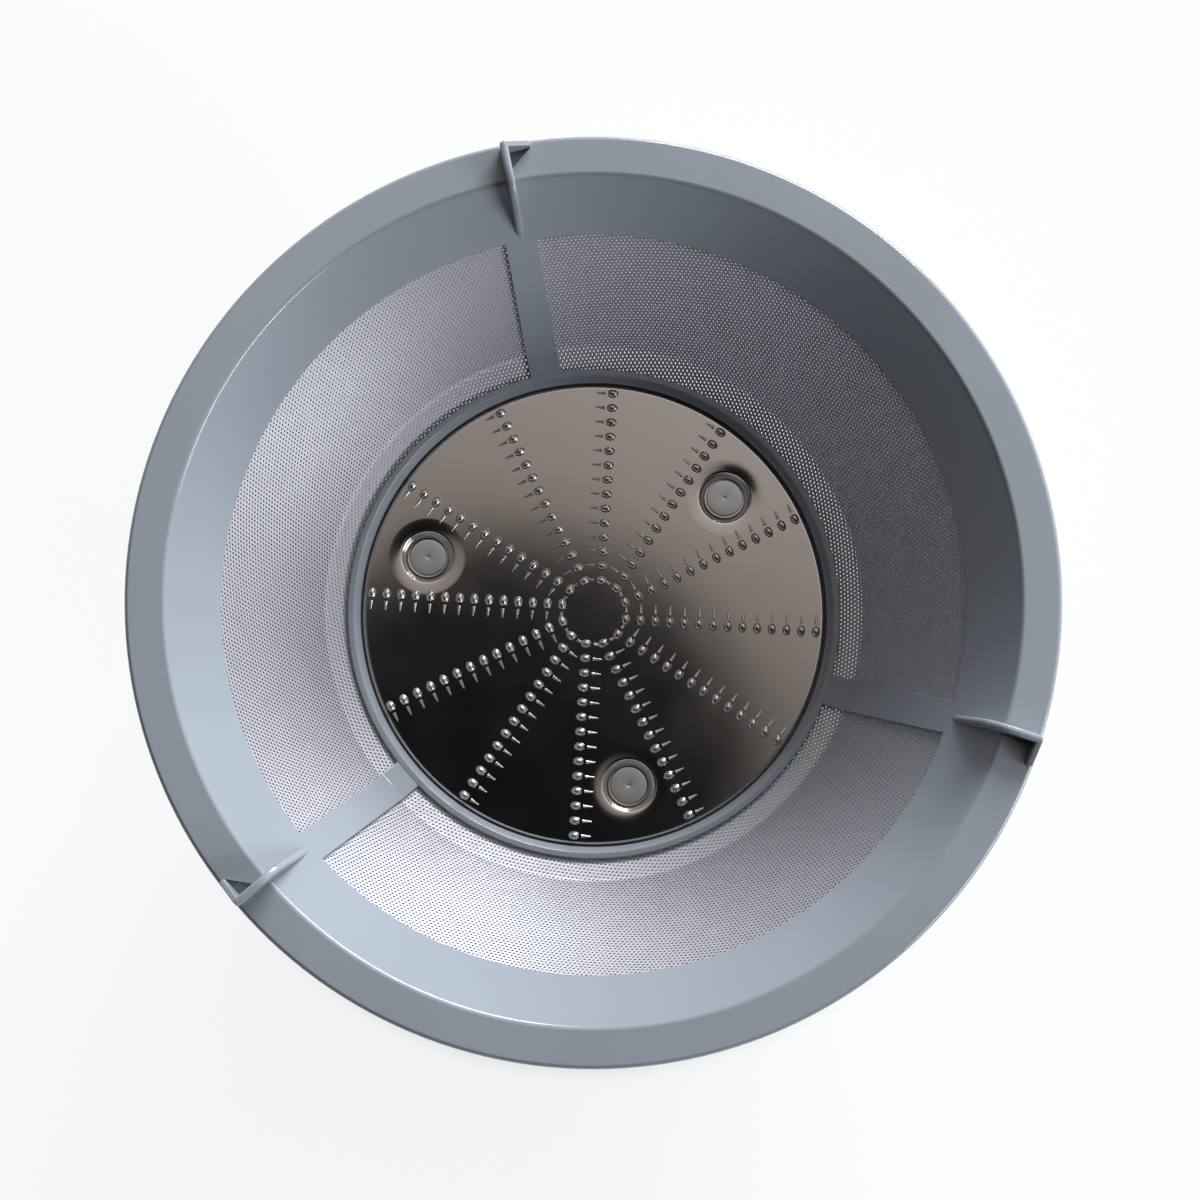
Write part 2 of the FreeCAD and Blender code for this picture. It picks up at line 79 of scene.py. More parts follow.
FLANGE_TOP = FIN_TOP - FIN_HEIGHT
FLANGE_INNER = RIM_RADIUS - FLANGE_WIDTH
BAND_BOTTOM = FLANGE_TOP - BAND_HEIGHT
DISC_TOP = TOOTH_TOP - TOOTH_HEIGHT
FLOOR_TOP = DISC_TOP - DISC_SHEET
FLOOR_BOTTOM = FLOOR_TOP - FLOOR_THICKNESS
RING_TOP = DISC_TOP + RING_HEIGHT
SEAT_RADIUS = DISC_RADIUS + DISC_GAP
RING_OUTER = SEAT_RADIUS + RING_WALL
KNEE_RADIUS = RING_OUTER + LEDGE_WIDTH
KNEE_TOP = RING_TOP + LEDGE_WIDTH * math.tan(LEDGE_ANGLE)
SPOKES = 3
SPOKE_AZIMUTH = math.radians(90)


def wall_radius(height, depth=0.0):
    """Radius of the conical wall at a height, a depth behind its inner face."""
    return FLANGE_INNER - (FLANGE_TOP - height) * math.tan(WALL_ANGLE) + depth / math.cos(WALL_ANGLE)


def ledge_height(radius, depth=0.0):
    """Height of the sloping ledge at a radius, a depth below its upper face."""
    return KNEE_TOP + (radius - KNEE_RADIUS) * math.tan(LEDGE_ANGLE) - depth / math.cos(LEDGE_ANGLE)


def knee(depth):
    """Radius and height where wall and ledge meet, a depth behind their faces."""
    wall, ledge = math.tan(WALL_ANGLE), math.tan(LEDGE_ANGLE)
    share = (1 / math.cos(WALL_ANGLE) - wall / math.cos(LEDGE_ANGLE)) / (1 - wall * ledge)
    radius = KNEE_RADIUS + depth * share
    return radius, ledge_height(radius, depth)


print("flange top, mm:", round(FLANGE_TOP / MM, 2), "disc top, mm:", round(DISC_TOP / MM, 2))

# %% [markdown]
# ## Tools for turned and pressed shapes
# Nearly everything here is round. The usual way is to draw half a section and spin it, so the first helper
# lays an outline, with rounded corners where the moulding has them, and the second one spins it. Flat
# pieces, such as fins and ribs, are an outline pushed out to a thickness.

# %% Outline, spin, push, copy and carve
WELD = 0.0005 * MM
TURN_STEPS = 192
ARC_STEP = math.radians(12)
BEVEL_STEPS = 3


def take(*objs):
    """Select only these objects, with the first one active."""
    bpy.ops.object.select_all(action="DESELECT")
    for obj in objs:
        obj.select_set(True)
    bpy.context.view_layer.objects.active = objs[0]


def rounded(corners):
    """Points of a closed outline of (a, b) or (a, b, radius) corners, with arcs at the rounded ones."""
    points = []
    for index, corner in enumerate(corners):
        here = Vector(corner[:2])
        if len(corner) == 2:
            points.append(here)
            continue
        way_in = (here - Vector(corners[index - 1][:2])).normalized()
        way_out = (Vector(corners[(index + 1) % len(corners)][:2]) - here).normalized()
        turn = way_in.angle_signed(way_out)
        side = math.copysign(1, turn)
        start = here - way_in * corner[2] * math.tan(abs(turn) / 2)
        centre = start + Vector((way_in.y, -way_in.x)) * corner[2] * side
        steps = max(2, round(abs(turn) / ARC_STEP))
        for step in range(steps + 1):
            angle = -turn * step / steps
            spoke = start - centre
            points.append(centre + Vector((spoke.x * math.cos(angle) - spoke.y * math.sin(angle),
                                           spoke.x * math.sin(angle) + spoke.y * math.cos(angle))))
    return points


def outline(name, points, fill="NOTHING"):
    """Closed outline through these points, started as a circle with as many corners."""
    bpy.ops.object.select_all(action="DESELECT")
    bpy.ops.mesh.primitive_circle_add(vertices=len(points), fill_type=fill)
    obj = bpy.context.active_object
    obj.name = name
    for vertex, point in zip(obj.data.vertices, points):
        vertex.co = point
    return obj


def close_shell():
    """In edit mode: weld the seam, drop loose edges and turn all faces outwards."""
    bpy.ops.mesh.select_all(action="SELECT")
    bpy.ops.mesh.remove_doubles(threshold=WELD)
    bpy.ops.mesh.delete_loose()
    bpy.ops.mesh.select_all(action="SELECT")
    bpy.ops.mesh.normals_make_consistent(inside=False)


def spin(name, corners, steps=TURN_STEPS):
    """Turn a section of (radius, height) corners fully round the spin axis."""
    obj = outline(name, [Vector((point.x, 0, point.y)) for point in rounded(corners)])
    bpy.ops.object.mode_set(mode="EDIT")
    bpy.ops.mesh.select_all(action="SELECT")
    bpy.ops.mesh.spin(steps=steps, angle=math.tau, center=(0, 0, 0), axis=(0, 0, 1))
    close_shell()
    bpy.ops.object.mode_set(mode="OBJECT")
    return obj


def push(name, points, way, edge_round=0.0):
    """Push a flat outline out along a way, and soften its edges."""
    obj = outline(name, points, fill="NGON")
    bpy.ops.object.mode_set(mode="EDIT")
    bpy.ops.mesh.select_all(action="SELECT")
    bpy.ops.mesh.extrude_region_move(TRANSFORM_OT_translate={"value": way})
    close_shell()
    if edge_round:
        bpy.ops.mesh.bevel(offset=edge_round, segments=BEVEL_STEPS, affect="EDGES", clamp_overlap=True)
    bpy.ops.object.mode_set(mode="OBJECT")
    return obj


def ring_of(obj, count, start):
    """Copies of a piece round the spin axis, joined into one object."""
    copies = []
    for index in range(count):
        take(obj)
        bpy.ops.object.duplicate()
        copy = bpy.context.active_object
        copy.rotation_euler.z = start + index * math.tau / count
        bpy.ops.object.transform_apply(location=False, rotation=True, scale=False)
        copies.append(copy)
    bpy.data.objects.remove(obj)
    take(*copies)
    bpy.ops.object.join()
    return copies[0]


def move_out(obj, radius):
    """Move a piece that was made on the spin axis out to a radius, and keep its origin on the axis."""
    obj.location.x = radius
    take(obj)
    bpy.ops.object.transform_apply(location=True)


def join(*objs):
    """Several objects as one."""
    take(*objs)
    bpy.ops.object.join()
    return objs[0]


def carve(base, tool, operation):
    """Unite a piece with another one, or cut that one out of it."""
    take(base)
    bpy.ops.object.modifier_add(type="BOOLEAN")
    modifier = base.modifiers[-1]
    modifier.operation = operation
    modifier.solver = "EXACT"
    modifier.object = tool
    bpy.ops.object.modifier_apply(modifier=modifier.name)
    bpy.data.objects.remove(tool)


def dress(obj, name, node, materials, sharp):
    """Smooth a finished piece, give it its materials and put it in its node's place."""
    obj.name = name
    take(obj)
    bpy.ops.object.shade_smooth_by_angle(angle=sharp)
    bpy.ops.object.modifier_add(type="WEIGHTED_NORMAL")
    obj.modifiers[-1].keep_sharp = True
    bpy.ops.object.modifier_apply(modifier=obj.modifiers[-1].name)
    for material in materials:
        obj.data.materials.append(material)
    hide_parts(node)
    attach(obj, "root")
    print(name, len(obj.data.polygons), "faces")


# %% [markdown]
# ## Colour and nodes
# A hex value is what the eye sees on screen; the shaders want linear light. One function converts it, and
# one small function adds a node, sets it and links it.

# %% Colour and node helpers
def linear(code):
    """Linear RGBA of an sRGB hex colour."""
    parts = [int(code[index:index + 2], 16) / 255 for index in (1, 3, 5)]
    light = [part / 12.92 if part <= 0.04045 else ((part + 0.055) / 1.055) ** 2.4 for part in parts]
    return (*light, 1.0)


def add_node(tree, kind, inputs, **settings):
    """Add a node with its settings; an input is a plain value or another node's output."""
    node = tree.nodes.new(kind)
    for key, value in settings.items():
        setattr(node, key, value)
    for key, value in inputs.items():
        if isinstance(value, bpy.types.NodeSocket):
            tree.links.new(value, node.inputs[key])
        else:
            node.inputs[key].default_value = value
    return node


def start_material(name):
    """Material with its node tree, its shader and the piece's own coordinates."""
    material = bpy.data.materials.new(name)
    material.use_nodes = True
    tree = material.node_tree
    place = add_node(tree, "ShaderNodeTexCoord", {}).outputs["Object"]
    return material, tree, tree.nodes["Principled BSDF"], place


# %% [markdown]
# ## Moulded plastic
# The frame is injection-moulded ABS in a cool grey. A steel mould with a light polish leaves a half-gloss
# skin: reflections are soft, and a very fine orange peel breaks them. Two noises give that: one for the
# skin and a slow one for the small changes of tint that flow marks leave.

# %% Moulded ABS
# The real skin is finer than this: it is drawn as coarse as it needs to show.
SKIN_GRAIN = 0.5 * MM
SKIN_DEPTH = 0.02 * MM
FLOW_MARK = 22 * MM

# To the eye: a cool grey that mirrors the window as a soft, slightly broken streak.
moulded_abs, tree, shader, place = start_material("grey moulded ABS, half gloss")
flow = add_node(tree, "ShaderNodeTexNoise", {"Vector": place, "Scale": 1 / FLOW_MARK, "Detail": 3.0})
tint = add_node(tree, "ShaderNodeMix", {"Factor": flow.outputs["Fac"], "A": linear("#8b929a"),
                                        "B": linear("#929aa2")}, data_type="RGBA")
skin = add_node(tree, "ShaderNodeTexNoise", {"Vector": place, "Scale": 1 / SKIN_GRAIN, "Detail": 2.0})
bump = add_node(tree, "ShaderNodeBump", {"Height": skin.outputs["Fac"], "Strength": 0.12,
                                         "Distance": SKIN_DEPTH})
gloss = add_node(tree, "ShaderNodeMapRange", {"Value": flow.outputs["Fac"], "To Min": 0.15, "To Max": 0.22})
tree.links.new(tint.outputs["Result"], shader.inputs["Base Color"])
tree.links.new(gloss.outputs["Result"], shader.inputs["Roughness"])
tree.links.new(bump.outputs["Normal"], shader.inputs["Normal"])
shader.inputs["IOR"].default_value = 1.53
print("made", moulded_abs.name)

# %% [markdown]
# ## Steel of the mesh
# The mesh is thin stainless sheet with a satin rolled skin, and its holes are etched, which leaves their
# walls dull. One material could do for both, but light runs along a hole's wall and would fill the holes,
# so the walls have a darker steel of their own, which is painted shade in the holes. That is what lets so
# fine a pattern be seen from a distance.

# %% Perforated sheet and the walls of its holes
SHEET_CLOUD = 3 * MM

# To the eye: soft and even, brighter where it faces the window, with no mirror image in it.
mesh_steel, tree, shader, place = start_material("perforated stainless sheet, satin rolled")
cloud = add_node(tree, "ShaderNodeTexNoise", {"Vector": place, "Scale": 1 / SHEET_CLOUD, "Detail": 2.0})
satin = add_node(tree, "ShaderNodeMapRange", {"Value": cloud.outputs["Fac"], "To Min": 0.45, "To Max": 0.6})
tree.links.new(satin.outputs["Result"], shader.inputs["Roughness"])
shader.inputs["Metallic"].default_value = 0.6
shader.inputs["Base Color"].default_value = linear("#b6b6bc")

# To the eye: dark specks in the bright sheet, which are the painted shade of the hole walls.
hole_wall_painted_shade, tree, shader, place = start_material("etched wall of a hole in stainless sheet, dull")
etch = add_node(tree, "ShaderNodeTexNoise", {"Vector": place, "Scale": 1 / SHEET_CLOUD, "Detail": 2.0})
dull = add_node(tree, "ShaderNodeMapRange", {"Value": etch.outputs["Fac"], "To Min": 0.6, "To Max": 0.8})
tree.links.new(dull.outputs["Result"], shader.inputs["Roughness"])
shader.inputs["Metallic"].default_value = 0.6
shader.inputs["Base Color"].default_value = linear("#6a6a70")
print("made", mesh_steel.name, "|", hole_wall_painted_shade.name)

# %% [markdown]
# ## Steel of the disc
# The disc is stainless sheet too, buffed to a mirror before its teeth are punched. The punch stretches the
# steel, so a tooth is only half as bright as the plate, and it is torn open at one side; that torn face is
# painted dark, as painted shade of the opening under the tooth. These three differ mostly in roughness,
# apart from that painted shade, and roughness is the first thing to change when a metal looks wrong.

# %% Mirror plate, stretched teeth and torn edges
SMUDGE = 9 * MM
PUNCH_GRAIN = 0.35 * MM

# To the eye: a clear, slightly smudged image of what is above the disc.
mirror_steel, tree, shader, place = start_material("pressed stainless sheet, mirror buffed")
smudge = add_node(tree, "ShaderNodeTexNoise", {"Vector": place, "Scale": 1 / SMUDGE, "Detail": 4.0})
buffed = add_node(tree, "ShaderNodeMapRange", {"Value": smudge.outputs["Fac"],
                                               "To Min": 0.06, "To Max": 0.13})
tree.links.new(buffed.outputs["Result"], shader.inputs["Roughness"])
shader.inputs["Metallic"].default_value = 1.0
shader.inputs["Base Color"].default_value = linear("#d0cac5")

# To the eye: each tooth is a small soft highlight and not a second mirror.
tooth_steel, tree, shader, place = start_material("stretched stainless of a punched tooth, half bright")
stretch = add_node(tree, "ShaderNodeTexNoise", {"Vector": place, "Scale": 1 / PUNCH_GRAIN, "Detail": 2.0})
eased = add_node(tree, "ShaderNodeMapRange", {"Value": stretch.outputs["Fac"],
                                              "To Min": 0.22, "To Max": 0.34})
tree.links.new(eased.outputs["Result"], shader.inputs["Roughness"])
shader.inputs["Metallic"].default_value = 1.0
shader.inputs["Base Color"].default_value = linear("#cdc8c4")

# To the eye: a dark mouth beside each highlight, which is painted shade of the opening under the tooth.
tooth_opening_painted_shade, tree, shader, place = start_material("cut face of a tooth, dark as painted shade of its opening")
tear = add_node(tree, "ShaderNodeTexNoise", {"Vector": place, "Scale": 1 / PUNCH_GRAIN})
ragged = add_node(tree, "ShaderNodeMapRange", {"Value": tear.outputs["Fac"], "To Min": 0.5, "To Max": 0.7})
tree.links.new(ragged.outputs["Result"], shader.inputs["Roughness"])
shader.inputs["Metallic"].default_value = 1.0
shader.inputs["Base Color"].default_value = linear("#2a2827")
print("made", mirror_steel.name, "|", tooth_steel.name, "|", tooth_opening_painted_shade.name)

# %% [markdown]
# ## Steel of the rivets
# Rivets are tumbled in a drum with small stones, which leaves a fine pitted satin. A constant roughness
# does for so small a piece, and a bump from a fine noise gives the pits.

# %% Tumbled rivets
# The real pits are finer than this: they are drawn as coarse as they need to show.
TUMBLE_GRAIN = 0.35 * MM
TUMBLE_DEPTH = 0.02 * MM

# To the eye: pale matt buttons on the mirror.
rivet_steel, tree, shader, place = start_material("stainless rivet, tumbled satin")
grain = add_node(tree, "ShaderNodeTexNoise", {"Vector": place, "Scale": 1 / TUMBLE_GRAIN, "Detail": 3.0})
bump = add_node(tree, "ShaderNodeBump", {"Height": grain.outputs["Fac"], "Strength": 0.25,
                                         "Distance": TUMBLE_DEPTH})
tree.links.new(bump.outputs["Normal"], shader.inputs["Normal"])
shader.inputs["Metallic"].default_value = 1.0
shader.inputs["Roughness"].default_value = 0.38
shader.inputs["Base Color"].default_value = linear("#d6d6d9")
print("made", rivet_steel.name)

# %% [markdown]
# ## The frame's turned parts
# On the bench the frame is one moulding. Its flange and conical band are one turned section, and the ring
# round the disc, the floor, the skirt and the drive hub are another. Rounded corners are in the section, so
# that every edge catches a line of light as moulded edges do.

# %% Band with flange, ring with floor and hub
FLANGE_THICKNESS = 1.8 * MM
FLANGE_INNER_ROUND = 0.9 * MM
RIM_ROUND = 0.7 * MM
BAND_ROOT_ROUND = 0.8 * MM
BAND_FOOT_ROUND = 0.2 * MM
DISC_EDGE_DROP = 1.1 * MM
RING_LIP = 1.0 * MM
SKIRT_WALL = 2.0 * MM
SKIRT_TAPER = 0.5 * MM
HUB_RADIUS = 10.5 * MM
HUB_LIFT = 1.0 * MM
SOCKET_RADIUS = 7.0 * MM
SOCKET_ROOF = 2.2 * MM
EDGE = 0.25 * MM

skirt_outer = RING_OUTER - SKIRT_TAPER
skirt_inner = skirt_outer - SKIRT_WALL
socket_top = FLOOR_TOP - SOCKET_ROOF
flange_bottom = FLANGE_TOP - FLANGE_THICKNESS
band_inner = wall_radius(BAND_BOTTOM)
band_outer = band_inner + WALL_THICKNESS * math.cos(WALL_ANGLE)
band_foot = BAND_BOTTOM - WALL_THICKNESS * math.sin(WALL_ANGLE)
plateau = DISC_RADIUS - DISC_SHEET - DISC_GAP
groove = DISC_TOP - DISC_EDGE_DROP - DISC_GAP

basket = spin("band", [
    (band_inner, BAND_BOTTOM, BAND_FOOT_ROUND),
    (FLANGE_INNER, FLANGE_TOP, FLANGE_INNER_ROUND),
    (RIM_RADIUS, FLANGE_TOP, RIM_ROUND),
    (RIM_RADIUS, flange_bottom, RIM_ROUND),
    (wall_radius(flange_bottom, WALL_THICKNESS), flange_bottom, BAND_ROOT_ROUND),
    (band_outer, band_foot, BAND_FOOT_ROUND),
])
ring = spin("ring and hub", [
    (0, socket_top),
    (0, FLOOR_TOP),
    (plateau, FLOOR_TOP),
    (plateau, groove),
    (SEAT_RADIUS, groove),
    (SEAT_RADIUS, DISC_TOP, EDGE),
    (RING_OUTER - RING_LIP, RING_TOP, EDGE),
    (RING_OUTER, RING_TOP, EDGE),
    (RING_OUTER, FLOOR_BOTTOM),
    (skirt_outer, 0, EDGE),
    (skirt_inner, 0, EDGE),
    (RING_OUTER - SKIRT_WALL, FLOOR_BOTTOM, EDGE),
    (HUB_RADIUS, FLOOR_BOTTOM, EDGE),
    (HUB_RADIUS, HUB_LIFT, EDGE),
    (SOCKET_RADIUS, HUB_LIFT, EDGE),
    (SOCKET_RADIUS, socket_top),
])
print("ring outside radius, mm:", round(RING_OUTER / MM, 2))

# %% [markdown]
# ## Spokes, ribs and rivet bosses
# Three flat spokes run down the cone and tie the band to the ring. Under the floor, ribs stiffen the hub
# and round bosses carry the rivets. Each is one outline or cylinder, copied round the axis and united with
# the turned parts, because in the moulding they flow into each other.

# %% Spokes, ribs and bosses
SPOKE_WIDTH = 5.0 * MM
ROOT = 0.6 * MM
RIB_EDGE = 0.15 * MM
RIBS = 6
RIB_THICKNESS = 1.4 * MM
RIB_HEIGHT = 6.0 * MM
WELLS = 3
WELL_AZIMUTH = math.radians(30)
WELL_INSET = 8.8 * MM
WELL_CIRCLE = DISC_RADIUS - WELL_INSET
WELL_RADIUS = 4.05 * MM
WELL_FLOOR = 3.2 * MM
WELL_DEPTH = 1.3 * MM
BOSS_RADIUS = 7.05 * MM
BOSS_DROP = 2.4 * MM
RIVET_HOLE = 1.55 * MM
SMALL_TURN_STEPS = 64

spoke_top = BAND_BOTTOM + ROOT
spoke_foot = RING_OUTER - ROOT
spoke = push("spoke", [Vector((a, -SPOKE_WIDTH / 2, b)) for a, b in [
    (wall_radius(spoke_top), spoke_top),
    (wall_radius(spoke_top, WALL_THICKNESS), spoke_top),
    knee(WALL_THICKNESS),
    (spoke_foot, ledge_height(spoke_foot, WALL_THICKNESS)),
    (spoke_foot, ledge_height(spoke_foot)),
    knee(0.0),
]], (0, SPOKE_WIDTH, 0), edge_round=RIB_EDGE)
rib = push("rib", [Vector((a, -RIB_THICKNESS / 2, b)) for a, b in [
    (HUB_RADIUS - ROOT, FLOOR_BOTTOM + ROOT),
    (HUB_RADIUS - ROOT, FLOOR_BOTTOM - RIB_HEIGHT),
    (skirt_inner + ROOT, FLOOR_BOTTOM - RIB_HEIGHT),
    (skirt_inner + ROOT, FLOOR_BOTTOM + ROOT),
]], (0, RIB_THICKNESS, 0), edge_round=RIB_EDGE)
boss_bottom = FLOOR_BOTTOM - BOSS_DROP
boss = spin("boss", [
    (0, boss_bottom),
    (BOSS_RADIUS, boss_bottom, EDGE),
    (BOSS_RADIUS, FLOOR_BOTTOM + ROOT),
    (0, FLOOR_BOTTOM + ROOT),
], steps=SMALL_TURN_STEPS)
move_out(boss, WELL_CIRCLE)
basket = join(basket, ring)
carve(basket, join(ring_of(spoke, SPOKES, SPOKE_AZIMUTH), ring_of(rib, RIBS, 0.0),
                   ring_of(boss, WELLS, WELL_AZIMUTH)), "UNION")
print("frame with spokes, ribs and bosses:", len(basket.data.polygons), "faces")

# %% [markdown]
# ## Fins and corner tabs
# Over each spoke a thin fin climbs the band, bends at a rounded knee and crosses the flange. At the rim it
# ends in a low sloping tab. They throw the pulp out as the basket spins. A fin could be a bent box, but an
# outline with one rounded corner keeps its knee true. The bevel of its edges needs long sides to work on,
# so the outline has no other arc.

# %% Fins and tabs
FIN_THICKNESS = 1.2 * MM
FIN_INSET = 0.4 * MM
FIN_KNEE_INSET = 2.2 * MM
FIN_KNEE = FLANGE_INNER - FIN_KNEE_INSET
FIN_LIFT = 0.6 * MM
FIN_KNEE_ROUND = 5.0 * MM
FIN_ROOT = 1.4 * MM
FIN_EDGE = 0.5 * MM
TAB_LENGTH = 3.9 * MM
TAB_THICKNESS = 0.9 * MM
TAB_END = 1.0 * MM
TAB_EDGE = 0.2 * MM

fin_foot = BAND_BOTTOM + FIN_LIFT
rim_side = RIM_RADIUS - FIN_INSET
sunk = FLANGE_TOP - ROOT
fin = push("fin", [Vector((point.x, -FIN_THICKNESS / 2, point.y)) for point in rounded([
    (wall_radius(fin_foot, FIN_ROOT), fin_foot),
    (wall_radius(fin_foot), fin_foot),
    (FIN_KNEE, FIN_TOP, FIN_KNEE_ROUND),
    (rim_side, FIN_TOP),
    (rim_side, FLANGE_TOP - FIN_ROOT),
    (wall_radius(FLANGE_TOP - FIN_ROOT, FIN_ROOT), FLANGE_TOP - FIN_ROOT),
])], (0, FIN_THICKNESS, 0), edge_round=FIN_EDGE)
carve(basket, ring_of(fin, SPOKES, SPOKE_AZIMUTH), "UNION")

tab = push("tab", [Vector((rim_side, -a, b)) for a, b in [
    (0, sunk), (TAB_LENGTH, sunk), (TAB_LENGTH, FLANGE_TOP + TAB_END), (0, FIN_TOP)]],
    (-TAB_THICKNESS, 0, 0), edge_round=TAB_EDGE)
carve(basket, ring_of(tab, SPOKES, SPOKE_AZIMUTH), "UNION")
print("frame with fins and tabs:", len(basket.data.polygons), "faces")

# %% [markdown]
# ## Cuts in the frame
# A small sunk corner lies beside each tab. In the floor, three round seats take the disc's wells and a hole
# in each takes the rivet. In the hub, three keyways make the socket grip its coupling. Each cut is a solid
# of its own that a boolean takes away, because one cutter can be copied round the axis like any piece. The
# keyways meet on the axis, so they are cut one after the other.

# %% Pockets, seats and keyways
POCKET_LENGTH = 3.2 * MM
POCKET_WIDTH = 2.6 * MM
POCKET_DEPTH = 1.0 * MM
POCKET_CLEAR = 0.2 * MM
SEAT_CLEAR = 0.8 * MM
KEYS = 3
KEY_WIDTH = 2.4 * MM
KEY_DEPTH = 1.2 * MM
OVERCUT = 1.0 * MM
FRAME_SHARP = math.radians(28)

tab_inside = rim_side - TAB_THICKNESS
pocket = push("pocket", [Vector((a, -b, FLANGE_TOP - POCKET_DEPTH)) for a, b in [
    (tab_inside, FIN_THICKNESS / 2),
    (tab_inside - POCKET_WIDTH, FIN_THICKNESS / 2),
    (tab_inside, FIN_THICKNESS / 2 + POCKET_LENGTH),
]], (0, 0, POCKET_DEPTH + POCKET_CLEAR))
well_bottom = DISC_TOP - WELL_DEPTH
cup_bottom = well_bottom - DISC_SHEET
seat = spin("well seat", [
    (0, boss_bottom - OVERCUT),
    (RIVET_HOLE, boss_bottom - OVERCUT),
    (RIVET_HOLE, cup_bottom),
    (WELL_RADIUS + SEAT_CLEAR, cup_bottom),
    (WELL_RADIUS + SEAT_CLEAR, FLOOR_TOP + OVERCUT),
    (0, FLOOR_TOP + OVERCUT),
], steps=SMALL_TURN_STEPS)
move_out(seat, WELL_CIRCLE)
key = push("keyway", [Vector((a, b, socket_top)) for a, b in [
    (0, -KEY_WIDTH / 2),
    (SOCKET_RADIUS + KEY_DEPTH, -KEY_WIDTH / 2),
    (SOCKET_RADIUS + KEY_DEPTH, KEY_WIDTH / 2),
    (0, KEY_WIDTH / 2),
]], (0, 0, -socket_top))
pockets = ring_of(pocket, SPOKES, SPOKE_AZIMUTH)
carve(basket, join(pockets, ring_of(seat, WELLS, WELL_AZIMUTH)), "DIFFERENCE")
for index in range(KEYS):
    take(key)
    bpy.ops.object.duplicate()
    cutter = bpy.context.active_object
    cutter.rotation_euler.z = SPOKE_AZIMUTH + index * math.tau / KEYS
    bpy.ops.object.transform_apply(location=False, rotation=True, scale=False)
    carve(basket, cutter, "DIFFERENCE")
bpy.data.objects.remove(key)
dress(basket, "moulded_frame", "basket_frame", [moulded_abs], FRAME_SHARP)

# %% [markdown]
# ## The perforated cone
# The real sheet gets its holes while it is flat, on a 60 degree lattice, and is then rolled into a cone
# whose foot is folded in to a sloping ledge. A picture of holes would be lighter, but real holes let the
# table show through and catch the light on their walls, so it is made as the real one is. A grid is laid
# out as a lattice of diamonds on the flat sheet, each diamond is inset and its middle deleted, and the
# sheet is rolled by moving every point to its place on the cone. A thickness comes last, and its rims are
# the walls of the holes, in a darker steel that is painted shade. It is thinner than the solid's wall,
# because a thin sheet keeps the holes open when they are seen at a slant. One window of the frame is one
# sheet, so that each stays light enough, and the lattice turns from sheet to sheet as it does on one rolled
# cone.

# %% The cone laid flat
BEND_ROUND = 1.4 * MM
EDGE_HELD = 0.6 * MM

bend_radius, bend_height = knee(MESH_RECESS)
roll = math.sin(WALL_ANGLE)
bend_reach = bend_radius / roll
bend_turn = math.pi / 2 - WALL_ANGLE - LEDGE_ANGLE
bend_tangent = BEND_ROUND * math.tan(bend_turn / 2)
reach_low = bend_reach - (bend_radius - RING_OUTER) / math.cos(LEDGE_ANGLE) - EDGE_HELD
reach_high = wall_radius(BAND_BOTTOM, MESH_RECESS) / roll + EDGE_HELD


def roll_up(flat, middle):
    """Places on the cone, its bend and its ledge of points on the flat sheet (from the cone's apex)."""
    reach = np.hypot(flat[:, 0], flat[:, 1])
    azimuth = np.arctan2(flat[:, 1], flat[:, 0]) / roll + middle
    past = reach - bend_reach
    arc = np.clip((past + bend_tangent) / (2 * bend_tangent), 0, 1) * bend_turn
    on_cone = np.maximum(past - bend_tangent, 0)
    on_ledge = np.minimum(past + bend_tangent, 0)
    heading = LEDGE_ANGLE + arc
    radius = (bend_radius + (on_ledge - bend_tangent) * math.cos(LEDGE_ANGLE) + on_cone * math.sin(WALL_ANGLE)
              + BEND_ROUND * (np.sin(heading) - math.sin(LEDGE_ANGLE)))
    height = (bend_height + (on_ledge - bend_tangent) * math.sin(LEDGE_ANGLE) + on_cone * math.cos(WALL_ANGLE)
              + BEND_ROUND * (math.cos(LEDGE_ANGLE) - np.cos(heading)))
    return np.column_stack([radius * np.cos(azimuth), radius * np.sin(azimuth), height])


print("flat sheet from", round(reach_low / MM, 1), "to", round(reach_high / MM, 1), "mm from the cone's apex")

# %% Lattice, holes and thickness
HOLE_PITCH = 0.56 * MM
BAR_WIDTH = 0.3 * MM
MESH_THICKNESS = 0.26 * MM
LATTICE_TURN = math.radians(112.1)
LATTICE_ANGLE = math.pi / 3
WINDOW_HALF = math.radians(59)
FAN_POINTS = 9


def read_points(mesh):
    """The mesh's points as an array."""
    points = np.zeros(len(mesh.vertices) * 3)
    mesh.vertices.foreach_get("co", points)
    return points.reshape(-1, 3)


def lay_lattice(name, turn, half):
    """Flat grid over the fan of one window, with a diamond of the lattice as each of its faces."""
    normals = np.array([[math.cos(turn + step), math.sin(turn + step)] for step in (0, LATTICE_ANGLE)])
    fan = np.array([[reach * math.cos(angle), reach * math.sin(angle)]
                    for reach in (reach_low, reach_high) for angle in np.linspace(-half, half, FAN_POINTS)])
    counts = fan @ normals.T / HOLE_PITCH
    first = np.floor(counts.min(axis=0))
    cells = np.ceil(counts.max(axis=0)) - first
    bpy.ops.object.select_all(action="DESELECT")
    bpy.ops.mesh.primitive_grid_add(x_subdivisions=int(cells[0]), y_subdivisions=int(cells[1]), size=1)
    obj = bpy.context.active_object
    obj.name = name
    counted = first + (read_points(obj.data)[:, :2] + 0.5) * cells
    flat = np.linalg.solve(normals, (counted * HOLE_PITCH).T).T
    obj.data.vertices.foreach_set("co", np.column_stack([flat, np.zeros(len(flat))]).ravel())
    obj.data.update()
    return obj


